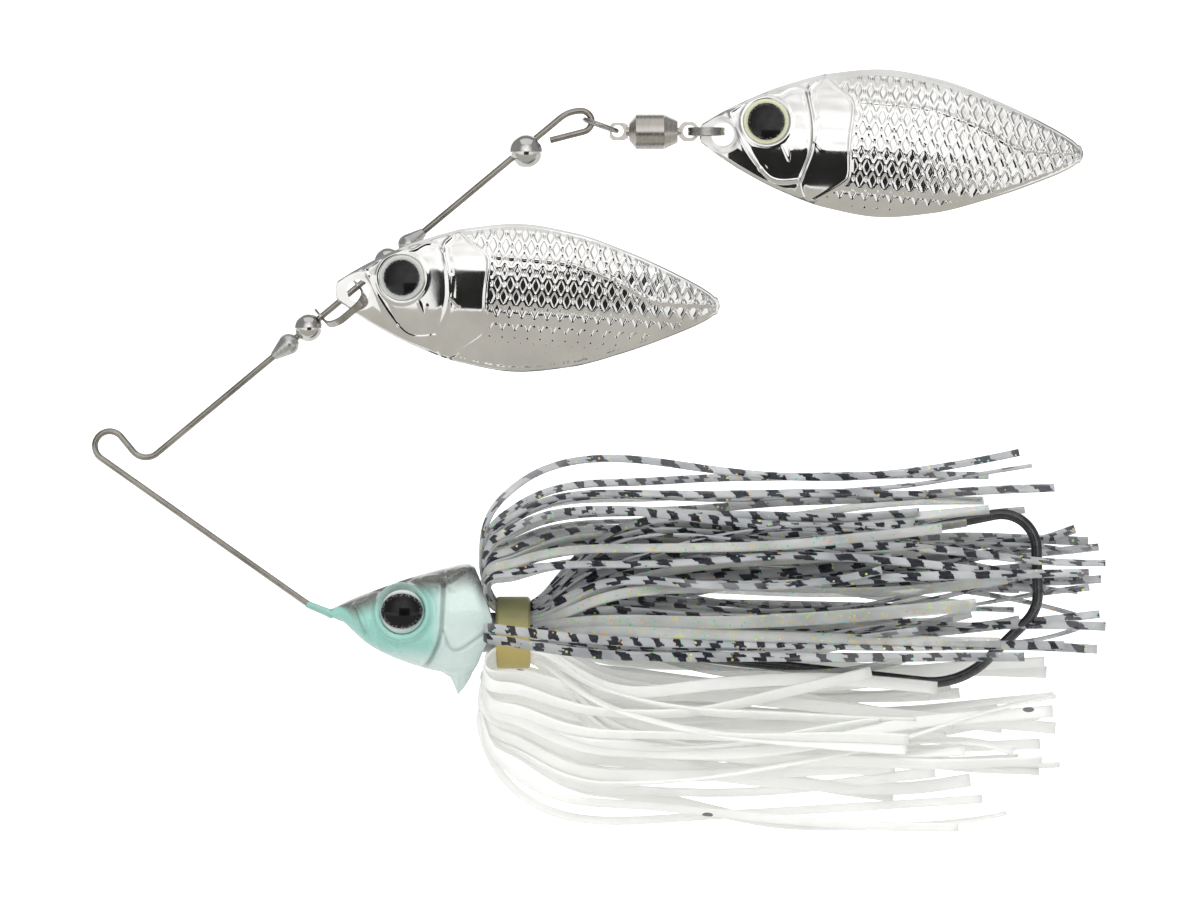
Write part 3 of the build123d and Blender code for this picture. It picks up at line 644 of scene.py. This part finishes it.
def build_head():
    nu, na = 260, 320
    us = np.linspace(0, 1, nu) ** 1.15
    th = np.linspace(0, math.tau, na, endpoint=False)
    x0 = 27.6 + us * (45.5 - 27.6)
    top, low, wid = table(TOP, x0), table(LOW, x0), table(SIDE, x0)
    zc, hh = (top + low) / 2, (top - low) / 2
    C, S = np.cos(th)[None, :], np.sin(th)[None, :]
    # a slightly full section: fuller than an ellipse at the cheeks, tighter along the back
    e = 0.92
    cz = np.sign(C) * np.abs(C) ** 1.0
    sy = np.sign(S) * np.abs(S) ** e
    Z = zc[:, None] + hh[:, None] * cz
    Y = wid[:, None] * sy
    X = np.repeat(x0[:, None], na, 1)
    # the keel spike under the rear of the head
    amp = 2.75 * np.interp(x0, [41.4, 42.6, 43.0, 43.55, 44.4, 45.5], [0, 0.22, 0.50, 1.0, 0.66, 0.10])
    down = np.exp(-((th[None, :] - math.pi) / 0.20) ** 2)
    Z = Z - amp[:, None] * down
    # rear edge of the gill plate
    xe = np.interp(Z, [z for z, _ in REAR], [x for _, x in REAR])
    k = us[:, None] ** 7
    X = X + (xe - 45.5) * k
    P = np.stack([X, Y, Z], -1)
    # outward normals from the smooth surface
    du = np.gradient(P, axis=0)
    dv = np.stack([np.roll(P[..., i], -1, 1) - np.roll(P[..., i], 1, 1) for i in range(3)], -1)
    N = np.cross(dv, du)
    N /= np.maximum(np.linalg.norm(N, axis=-1, keepdims=True), 1e-9)
    centre = np.stack([X, np.zeros_like(Y), np.repeat(zc[:, None], na, 1)], -1)
    flip = np.sign(np.sum(N * (P - centre), -1, keepdims=True))
    N *= np.where(flip == 0, 1, flip)
    side = smoothstep(0.15, 0.5, np.abs(Y) / np.maximum(wid[:, None], 0.3))
    d = np.zeros_like(X)
    for line, depth, wd, lip in ((GILL_CREASE, 0.26, 0.20, 0.10), (FOLD1, 0.24, 0.18, 0.10), (FOLD2, 0.15, 0.16, 0.05),
                                 (MOUTH1, 0.20, 0.18, 0.08), (MOUTH2, 0.14, 0.16, 0.06), (PLATE_V, 0.20, 0.18, 0.07)):
        q = seg_dist(X, Z, round_pts(line, 3))
        d += side * (-depth * np.exp(-(q / wd) ** 2) + lip * np.exp(-((q - 0.5) / 0.28) ** 2))
    d += side * 0.14 * np.exp(-(seg_dist(X, Z, LIP) / 0.30) ** 2)
    # the plate behind the crease stands a little proud
    crease_x = np.interp(Z, [p[1] for p in GILL_CREASE[::-1]], [p[0] for p in GILL_CREASE[::-1]])
    d += side * 0.16 * smoothstep(0.0, 0.5, X - crease_x)
    rr = np.hypot(X - EYE_X, Z - EYE_Z)
    on = (np.abs(Y) > 1.0)
    d += on * (0.42 * np.exp(-((rr - 3.20) / 0.34) ** 2) - 0.18 * np.exp(-((rr - 3.95) / 0.4) ** 2))
    P = P + N * d[..., None]
    # flat seat for the eye, cut square to Y at a fixed depth
    seat = 3.95
    inside = (rr < 2.84) & on
    Yn = P[..., 1]
    Yn = np.where(inside, np.sign(Yn) * seat, Yn)
    P[..., 1] = Yn
    verts = P.reshape(-1, 3)
    # colours by zone
    t = (zc[:, None] + hh[:, None]) - Z            # depth below the back line
    tt = np.clip(t, 0, 14)
    mint, pale, white = np.array([0.25, 0.57, 0.485]), np.array([0.61, 0.725, 0.69]), np.array([0.62, 0.745, 0.71])
    back, edgec = np.array([0.070, 0.068, 0.055]), np.array([0.016, 0.016, 0.015])
    rearness = smoothstep(39.6, 42.2, X)[..., None]
    body_c = mint * (1 - rearness) + pale * rearness
    belly = smoothstep(-24.6, -27.6, Z)[..., None]
    body_c = body_c * (1 - belly) + white * belly
    noise = 0.35 * np.sin(X * 1.7 + 0.6 * np.sin(Z * 2.1)) + 0.2 * np.sin(X * 3.9 + 1.3)
    band = 2.5 + 0.35 * noise + 0.5 * smoothstep(37.0, 41.0, X) - 2.2 * smoothstep(31.0, 28.6, X)
    dark = (1 - smoothstep(band * 0.35, band * 1.30, tt))[..., None]
    col = body_c * (1 - dark) + back * dark
    rim_top = (smoothstep(-1.5, -0.25, X - np.interp(Z, [z for z, _ in REAR], [x for _, x in REAR])) * smoothstep(-22.5, -17.0, Z))[..., None]
    col = col * (1 - 0.85 * rim_top) + edgec * 0.85 * rim_top
    # creases collect shade
    shade = np.exp(-(seg_dist(X, Z, round_pts(GILL_CREASE, 2)) / 0.28) ** 2) + np.exp(-(seg_dist(X, Z, round_pts(FOLD1, 2)) / 0.25) ** 2)
    shade += 0.7 * np.exp(-(seg_dist(X, Z, round_pts(MOUTH1, 2)) / 0.25) ** 2) + 0.8 * np.exp(-(seg_dist(X, Z, LIP) / 0.3) ** 2)
    shade += 0.5 * np.exp(-(seg_dist(X, Z, round_pts(PLATE_V, 2)) / 0.22) ** 2)
    col = col * (1 - 0.45 * np.clip(side * shade, 0, 1)[..., None])
    iris_ring = (np.exp(-((rr - 3.2) / 0.5) ** 2) * on)[..., None]
    col = col * (1 - 0.5 * iris_ring) + np.array([0.30, 0.56, 0.50]) * 0.5 * iris_ring
    cols = col.reshape(-1, 3)
    faces = grid_faces(nu, na, wrap=True)
    # rear cap: a short lip, then a shallow hollow down to the post
    base = verts[-na:]
    mid = np.array([46.0, 0.0, -23.3])
    extra, extra_c, rows = [], [], [(0.965, 0.02), (0.90, -0.22), (0.78, -0.55), (0.60, -0.8), (0.38, -0.9), (0.14, -0.9)]
    for f, dx in rows:
        ring = mid + (base - mid) * f
        ring[:, 0] = base[:, 0] * f**0.5 + (45.9) * (1 - f**0.5) + dx * 0.6
        extra.append(ring)
        # the cap's rings take 0.55 of the rim's colour: painted shade in the hollow
        extra_c.append(cols[-na:] * 0.55)
    first = (nu - 1) * na
    n0 = len(verts)
    verts = np.vstack([verts] + extra)
    cols = np.vstack([cols] + extra_c)
    for r in range(len(rows)):
        a0 = first if r == 0 else n0 + (r - 1) * na
        b0 = n0 + r * na
        faces += [(a0 + j, a0 + (j + 1) % na, b0 + (j + 1) % na, b0 + j) for j in range(na)]
    # close both ends
    tip, tail = len(verts), len(verts) + 1
    verts = np.vstack([verts, [[27.45, 0, -20.95]], [[46.0, 0, -23.3]]])
    cols = np.vstack([cols, cols[:1], cols[-1:]])
    faces += [((j + 1) % na, j, tip) for j in range(na)]
    b0 = n0 + (len(rows) - 1) * na
    faces += [(b0 + j, b0 + (j + 1) % na, tail) for j in range(na)]
    return verts, faces, cols


def tube(path, radii, seg=24, cap=True):
    """A round tube along points, one radius per point."""
    path = np.asarray(path, float)
    tang = np.gradient(path, axis=0)
    tang /= np.linalg.norm(tang, axis=1, keepdims=True)
    ref = np.array([0.0, 1.0, 0.0])
    verts = []
    for p, t, r in zip(path, tang, radii):
        a = np.cross(t, ref)
        a /= np.linalg.norm(a)
        b = np.cross(t, a)
        for j in range(seg):
            q = math.tau * j / seg
            verts.append(p + r * (a * math.cos(q) + b * math.sin(q)))
    faces = grid_faces(len(path), seg, wrap=True, flip=True)
    if cap:
        verts += [path[0], path[-1]]
        n = len(path) * seg
        faces += [(j, (j + 1) % seg, n) for j in range(seg)]
        last = (len(path) - 1) * seg
        faces += [(last + (j + 1) % seg, last + j, n + 1) for j in range(seg)]
    return np.array(verts), faces


hv, hf, hc = build_head()
# painted sleeve where the coating runs up the wire, and the post that carries the collar
sl_path = [(24.95 + 0.33 * i, 0, -19.86 - 0.134 * i) for i in range(-1, 10)]
sl_r = [0.43, 0.455, 0.47, 0.47, 0.475, 0.48, 0.49, 0.50, 0.53, 0.56, 0.60]
sv, sf = tube(sl_path, sl_r, 32)
post_x = [45.6, 48.0, 51.0, 53.6, 54.3, 54.9, 55.0]
post_r = [2.45, 2.5, 2.5, 2.5, 2.75, 1.7, 0.9]
pv, pf = tube([(x, 0, -23.3) for x in post_x], post_r, 64)
n1, n2 = len(hv), len(hv) + len(sv)
verts = np.vstack([hv, sv, pv])
faces = list(hf) + [tuple(i + n1 for i in f) for f in sf] + [tuple(i + n2 for i in f) for f in pf]
cols = np.vstack([hc, np.tile([0.23, 0.48, 0.42], (len(sv), 1)), np.tile([0.42, 0.42, 0.40], (len(pv), 1))])
head = new_mesh("head_shell", verts, faces, colours=cols)
give(head, HEADM)
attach(head, "frame")
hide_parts("head_casting")

HEAD_EYE = eye_material("head_eye_paint", (EYE_X - 0.05, 0, EYE_Z + 0.1),
                        [(0.0, (0.003, 0.003, 0.004)), (0.80, (0.004, 0.004, 0.005)), (0.825, (0.30, 0.34, 0.33)), (0.90, (0.60, 0.62, 0.60)),
                         (1.0, (0.55, 0.62, 0.60))], tilt_scale=(0.94, 1.12))
for side, node in ((-1, "head_eye_near"), (1, "head_eye_far")):
    c = centre_of(node)
    lens_mesh("head_eye_dome_" + ("near" if side < 0 else "far"), node, (c.x, side * 4.22, c.z), (0, side, 0), 2.74, 1.02, 0.25, HEAD_EYE, "frame")

# ---------------------------------------------------------------- skirt

AXIS_Z = -23.3


def spline_points(ctrl, n):
    """Uniform cubic B-spline through clamped ends."""
    c = np.asarray(ctrl, float)
    c = np.vstack([c[0] * 2 - c[1], c, c[-1] * 2 - c[-2]])
    segs = len(c) - 3
    out = []
    for t in np.linspace(0, segs - 1e-6, n):
        i = int(t)
        u = t - i
        b = np.array([(1 - u) ** 3, 3 * u**3 - 6 * u**2 + 4, -3 * u**3 + 3 * u**2 + 3 * u + 1, u**3]) / 6
        out.append(b @ c[i:i + 4])
    return np.array(out)


PROFILE = [(-0.5, 0.0), (-0.46, 0.32), (-0.34, 0.5), (0.0, 0.5), (0.34, 0.5), (0.46, 0.32), (0.5, 0.0), (0.46, -0.32), (0.34, -0.5),
           (0.0, -0.5), (-0.34, -0.5), (-0.46, -0.32)]


def ribbon(path, across, width, thick, u0):
    """A flat strand with rounded edges. Returns verts, faces, uvs (millimetres along, 0..1 across)."""
    path = np.asarray(path)
    n, k = len(path), len(PROFILE)
    tang = np.gradient(path, axis=0)
    tang /= np.linalg.norm(tang, axis=1, keepdims=True)
    step = np.concatenate([[0], np.cumsum(np.linalg.norm(np.diff(path, axis=0), axis=1))])
    a = across - tang * np.sum(across * tang, 1, keepdims=True)
    a /= np.linalg.norm(a, axis=1, keepdims=True)
    b = np.cross(tang, a)
    pr = np.array(PROFILE)
    verts = (path[:, None] + a[:, None] * (pr[:, 0] * width)[None, :, None] + b[:, None] * (pr[:, 1] * thick)[None, :, None]).reshape(-1, 3)
    uvs = np.stack([np.repeat(u0 + step, k), np.tile(pr[:, 0] + 0.5, n)], 1)
    faces = grid_faces(n, k, wrap=True)
    verts = np.vstack([verts, path[:1], path[-1:]])
    uvs = np.vstack([uvs, [[u0, 0.5], [u0 + step[-1], 0.5]]])
    m, last = n * k, (n - 1) * k
    faces += [((j + 1) % k, j, m) for j in range(k)]
    faces += [(last + j, last + (j + 1) % k, m + 1) for j in range(k)]
    return verts, faces, uvs


def strand(angle, y, z, tip_x, tip_z=None, width=1.15, thick=0.40, wave=1.0, face=None, loop=0.0, rear=False, sag=None, drop=0.0):
    """One strand, millimetres. angle: where it leaves the collar; y, z: where it runs behind; tip_z: height of its end."""
    a0 = math.radians(angle)
    d = np.array([-math.sin(a0), math.cos(a0)])
    t = np.array([y, z - AXIS_Z])
    rt = max(np.linalg.norm(t), 0.6)
    td = t / rt
    k = min(max((rt - 5) / 17, 0), 1)

    def at(x, r, w):
        v = d * (1 - w) + td * w
        v = v / np.linalg.norm(v) * r
        return (x, v[0], AXIS_Z + v[1])

    pts = [(50.2, d[0] * 3.1, AXIS_Z + d[1] * 3.1), (49.0, d[0] * 3.5, AXIS_Z + d[1] * 3.5), at(48.1, 4.1, 0.0),
           at(47.3 - 0.3 * k - loop, 5.0 + 1.0 * k, 0.02), at(46.9 - 0.4 * k - loop, 5.7 + 4.6 * k, 0.06), at(47.6 - loop, 6.1 + 8.8 * k, 0.14),
           at(50.0 - loop + 2.0 * drop, max(6.6, (0.80 - 0.10 * drop) * rt), 0.30), at(53.5 + 3.0 * drop, max(6.4, (0.93 - 0.06 * drop) * rt), 0.52), at(59.0 + 2.0 * drop, max(5.0, rt * 1.0), 0.80), at(66.0, max(1.5, rt), 1.0)]
    if rear:
        # the half of the strand that leaves through the back of the collar
        pts = [(50.6, d[0] * 3.0, AXIS_Z + d[1] * 3.0), (51.8, d[0] * 3.2, AXIS_Z + d[1] * 3.2), at(52.9, 3.6, 0.0), at(54.4, 4.3, 0.06),
               at(57.0, 4.6 + 0.30 * max(rt - 5, 0), 0.28), at(61.0, max(2.5, 0.5 * 4.8 + 0.62 * rt), 0.62), at(66.0, max(1.5, 0.93 * rt), 0.9)]
    zz = z if tip_z is None else tip_z
    ny, nz, vy, vz = 0.0, 0.0, 0.0, 0.0
    sag = RNG.normal(0.5, 0.9) if sag is None else sag
    xs = [74.0, 83.0, 92.0, 100.0, 108.0, 116.0, 122.0]
    xs = [x for x in xs if x < tip_x - 3.5] + [tip_x]
    for x in xs:
        f = (x - 65.0) / (tip_x - 65.0)
        vy = 0.6 * vy + RNG.normal(0, 0.35) * wave
        vz = 0.6 * vz + RNG.normal(0, 0.48) * wave
        ny, nz = ny + vy, nz + vz
        yy = np.clip(y + ny, -10.4, 10.4)
        pts.append((x, yy, max(z + (zz - z) * f**1.3 + nz - sag * math.sin(math.pi * min(f, 1.0)), -47.5)))
    path = spline_points(pts, 96)
    phi0 = math.radians(RNG.normal(0, 28)) if face is None else math.radians(face)
    turn = math.radians(RNG.normal(0, 40)) * wave
    s = np.linspace(0, 1, len(path))
    w = smoothstep(0.05, 0.34, s)[:, None]
    root = np.array([0.0, d[1], -d[0]])
    sgn = 1.0 if abs(math.cos(a0)) < 0.2 or root[2] >= 0 else -1.0
    phi = phi0 + turn * s + 0.25 * np.sin(s * 9 + RNG.uniform(0, 6)) * wave
    face_v = np.stack([np.zeros_like(phi), np.sin(phi), np.cos(phi)], 1)
    root_v = np.tile(root * sgn, (len(path), 1))
    across = root_v * (1 - w) + face_v * w + 1e-4
    v, f, uv = ribbon(path, across, width, thick, 0.0)
    # bars are printed at their own spacing on each strand
    uv[:, 0] = uv[:, 0] * RNG.choice([1.0, 1.0, 1.25, 1.7]) + RNG.uniform(0, 400)
    return v, f, uv


def bunch(name, node, mat, rows):
    V, F, U, o = [], [], [], 0
    for kw in rows:
        v, f, u = strand(**kw)
        V.append(v)
        U.append(u)
        F += [tuple(i + o for i in q) for q in f]
        o += len(v)
    ob = new_mesh(name, np.vstack(V), F, uvs=np.vstack(U))
    give(ob, mat)
    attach(ob, "frame")
    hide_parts(node)
    return ob


def fill(n, ang, zs, ys, tips, fan, **kw):
    """n strands with heights spread evenly over zs and the rest jittered. fan: how far the tips spread from their height."""
    out = []
    order = RNG.permutation(n)
    for i in range(n):
        f = (i + RNG.uniform(0.2, 0.8)) / n
        z = zs[0] + (zs[1] - zs[0]) * f
        g = (order[i] + 0.5) / n
        y = ys[0] + (ys[1] - ys[0]) * g
        lim = 10.2 * math.sqrt(max(0.1, 1 - ((z - AXIS_Z) / 24.5) ** 2))
        y = float(np.clip(y, -lim, lim))
        a = ang[0] + (ang[1] - ang[0]) * f + RNG.normal(0, 5)
        tip = tips[0] + (tips[1] - tips[0]) * RNG.beta(1.6, 1.1)
        out.append(dict(angle=a, y=y, z=z, tip_x=float(min(tip, 124.6)), tip_z=z + fan * (f - 0.5) * 2 + RNG.normal(0, 1.0), **kw))
    return out


# angle 0 is up and positive angles turn to the near side
for sgn, tag in ((1, "near"), (-1, "far")):
    ys = (-9.4, -0.6) if sgn > 0 else (0.6, 9.4)
    # loops that leave the front of the collar, then the halves that leave its back
    near = sgn > 0
    tips = (92, 110) if near else (106, 124.6)
    barred = fill(6, (sgn * 4, sgn * 42), (-5.4, -16.0), ys, tips, 1.0, wave=1.3)
    barred += fill(20, (sgn * 8, sgn * 100), (-8.0, -26.2), ys, tips, 1.6, rear=True, wave=1.2)
    barred += [dict(angle=sgn * 40, y=sgn * 7.5, z=-12.5, tip_x=124.2, tip_z=-13.0, rear=True), dict(angle=sgn * 60, y=sgn * 8.0, z=-17.5, tip_x=122.0, tip_z=-17.0, rear=True)]
    if sgn > 0:
        # the two that cross the collar at mid height, seen from the near side
        barred += [dict(angle=84, y=-10.2, z=-24.4, tip_x=119, tip_z=-25.0, face=4, wave=0.35, width=1.25, sag=0.2),
                   dict(angle=93, y=-10.0, z=-26.2, tip_x=114, tip_z=-26.6, face=-6, wave=0.3, width=1.25, sag=0.1)]
        barred += [dict(angle=5, y=-3.0, z=-1.5, tip_x=113.6, tip_z=-0.4, face=8, wave=0.35, loop=0.35, width=0.95, sag=2.6)]
    else:
        barred += [dict(angle=-8, y=3.2, z=-4.6, tip_x=110, tip_z=-5.2, face=-8, wave=0.6, loop=0.2, width=1.0)]
    bunch("strands_barred_" + tag, "skirt_barred_" + tag, BARRED, barred)
    clear = fill(6, (sgn * 55, sgn * 100), (-14.5, -26.6), ys, (98, 112), 0.6, width=1.35, rear=True)
    if near:
        clear += [dict(angle=80, y=-9.9, z=-21.6, tip_x=108, tip_z=-21.4, face=6, wave=0.5, width=1.7, rear=True, sag=0.6),
                  dict(angle=88, y=-10.1, z=-23.2, tip_x=111, tip_z=-23.8, face=-4, wave=0.5, width=1.6, rear=True, sag=0.4)]
    clear += fill(3, (sgn * 14, sgn * 40), (-6.0, -15.0), ys, (100, 112), 0.5, width=1.25)
    bunch("strands_clear_" + tag, "skirt_clear_" + tag, CLEAR, clear)
    white = fill(11, (sgn * 126, sgn * 174), (-30.5, -43.8), ys, (92, 119), 2.6, width=1.55, wave=1.3, drop=0.5)
    white += fill(11, (sgn * 108, sgn * 170), (-29.0 if near else -27.0, -40.0), ys, (94, 119), 2.0, width=1.65, rear=True, wave=1.2)
    if sgn > 0:
        white += [dict(angle=171, y=-3.2, z=-46.8, tip_x=109.0, tip_z=-44.4, face=5, wave=0.4, loop=0.5),
                  dict(angle=164, y=-4.5, z=-44.6, tip_x=106.0, tip_z=-46.2, face=-8, wave=0.4, loop=0.3)]
    bunch("strands_white_" + tag, "skirt_white_" + tag, WHITE, white)

# ---------------------------------------------------------------- studio


def stage_mesh(name, verts, faces, mat, smooth=False):
    me = bpy.data.meshes.new(name)
    me.from_pydata(verts, [], faces)
    if smooth:
        me.polygons.foreach_set("use_smooth", [True] * len(me.polygons))
    ob = bpy.data.objects.new(name, me)
    bpy.context.scene.collection.objects.link(ob)
    give(ob, mat)
    return ob


def paper_mat(name, lo, hi, glow):
    p = Mat(name, Roughness=0.9)
    p.set("Base Color", p.mix(p.map(p.noise(p.coord(), 60.0, 3.0), 0.3, 0.7, 0.0, 1.0), lo, hi))
    if glow:
        p.b.inputs["Emission Color"].default_value = (1, 1, 1, 1)
        p.b.inputs["Emission Strength"].default_value = glow
    return p.m


FLOOR_Z = -0.075
white_paper = paper_mat("studio_paper", (0.92, 0.92, 0.915), (0.95, 0.95, 0.945), 0.0)
lit_paper = paper_mat("studio_paper_lit", (0.92, 0.92, 0.92), (0.95, 0.95, 0.95), 0.85)
prof = [(0.38, FLOOR_Z)] + [(2.2 + 0.6 * math.sin(a), FLOOR_Z + 0.6 - 0.6 * math.cos(a)) for a in np.linspace(0, math.pi / 2, 16)] + [(2.8, 3.2)]
bv = [(x, y, z) for y, z in prof for x in (-2.4, 2.6)]
bf = [(2 * i, 2 * i + 1, 2 * i + 3, 2 * i + 2) for i in range(len(prof) - 1)]
stage_mesh("studio_backdrop", bv, bf, lit_paper, smooth=True)
stage_mesh("studio_floor", [(-3.0, -3.0, FLOOR_Z), (3.2, -3.0, FLOOR_Z), (3.2, 0.38, FLOOR_Z), (-3.0, 0.38, FLOOR_Z)], [(0, 1, 2, 3)], white_paper)


def card(name, corners, mat):
    """A card that only shows in reflections."""
    o = stage_mesh(name, corners, [(0, 1, 2, 3)], mat)
    o.visible_camera = False
    o.visible_shadow = False
    o.visible_diffuse = False
    o.visible_transmission = False
    return o


black = Mat("studio_black_card", Roughness=0.9)
black.set("Base Color", black.mix(black.noise(black.coord(), 40.0), (0.006, 0.006, 0.006), (0.012, 0.012, 0.012)))
grey = Mat("studio_grey_card", Roughness=0.9)
grey.set("Base Color", grey.mix(grey.noise(grey.coord(), 8.0), (0.0, 0.0, 0.0), (0.01, 0.01, 0.01)))
grey.b.inputs["Emission Color"].default_value = (0.86, 0.83, 0.76, 1)
grey.b.inputs["Emission Strength"].default_value = 0.58
soft = Mat("studio_softbox", Roughness=0.9)
soft.set("Base Color", soft.mix(soft.noise(soft.coord(), 8.0), (0.03, 0.03, 0.03), (0.05, 0.05, 0.05)))
soft.b.inputs["Emission Color"].default_value = (1, 1, 0.995, 1)
soft.b.inputs["Emission Strength"].default_value = 1.12
softer = Mat("studio_softbox_top", Roughness=0.9)
softer.set("Base Color", softer.mix(softer.noise(softer.coord(), 8.0), (0.03, 0.03, 0.03), (0.05, 0.05, 0.05)))
softer.b.inputs["Emission Color"].default_value = (1, 1, 0.995, 1)
softer.b.inputs["Emission Strength"].default_value = 0.78
# the front box is brightest in the middle and falls off to its edges, in soft panels
tcs = soft.node("ShaderNodeTexCoord")
sps = soft.node("ShaderNodeSeparateXYZ")
soft.link(tcs.outputs["Object"], sps.inputs[0])
across = soft.map(soft.math("ABSOLUTE", soft.math("SUBTRACT", sps.outputs[0], 0.08)), 0.15, 0.75, 1.0, 0.35)
upward = soft.map(sps.outputs[2], 0.25, 1.0, 1.0, 0.55)
panel = soft.map(soft.noise(soft.coord((1.0, 1.0, 1.4)), 5.0, 2.0), 0.35, 0.65, 0.66, 1.08)
soft.set("Emission Strength", soft.math("MULTIPLY", soft.math("MULTIPLY", across, upward), soft.math("MULTIPLY", panel, 1.42)))
# big softbox round the camera direction, and a grey card low in front
box = stage_mesh("softbox_front", [(-0.75, -1.0, -0.06), (0.95, -1.0, -0.06), (0.95, -0.85, 1.0), (-0.75, -0.85, 1.0)], [(0, 1, 2, 3)], soft.m)
box.visible_camera = False
box.visible_shadow = False
card("card_low_front", [(-0.4, -0.19, -0.072), (0.5, -0.19, -0.072), (0.5, -0.02, -0.074), (-0.4, -0.02, -0.074)], grey.m)
card("card_black", [(-0.004, -0.20, -0.071), (0.128, -0.20, -0.071), (0.128, -0.20, 0.021), (-0.004, -0.20, 0.021)], black.m)
top = stage_mesh("softbox_top", [(-0.6, -0.85, 1.0), (0.8, -0.85, 1.0), (0.8, 0.1, 1.15), (-0.6, 0.1, 1.15)], [(0, 1, 2, 3)], softer.m)
top.visible_camera = False
top.visible_shadow = False

world = bpy.data.worlds.new("studio")
bpy.context.scene.world = world
world.use_nodes = True
bg = world.node_tree.nodes["Background"]
bg.inputs[0].default_value = (0.97, 0.985, 1.0, 1)
bg.inputs[1].default_value = 0.31


def area(name, loc, target, size, energy, colour=(1, 1, 1)):
    d = bpy.data.lights.new(name, "AREA")
    d.shape = "RECTANGLE"
    d.size, d.size_y = size
    d.energy = energy
    d.color = colour
    o = bpy.data.objects.new(name, d)
    bpy.context.scene.collection.objects.link(o)
    o.location = loc
    o.rotation_euler = (Vector(target) - Vector(loc)).to_track_quat("-Z", "Y").to_euler()
    o.visible_glossy = False
    return o


area("key_top", (0.05, -0.6, 0.9), (0.06, 0, 0), (0.9, 0.6), 6.0)
area("fill_left", (-0.8, -0.7, 0.15), (0.06, 0, 0), (0.5, 0.7), 1.9)

cam = bpy.data.cameras.new("camera")
cam.sensor_width = 36.0
dist = 1.5
cam.lens = 36.0 * dist / 0.150
cam.clip_start, cam.clip_end = 0.05, 20
co = bpy.data.objects.new("camera", cam)
bpy.context.scene.collection.objects.link(co)
co.location = (0.0613, -dist, -0.0005)
co.rotation_euler = (math.radians(90), 0, 0)
bpy.context.scene.camera = co
bpy.context.scene.view_settings.view_transform = "Standard"
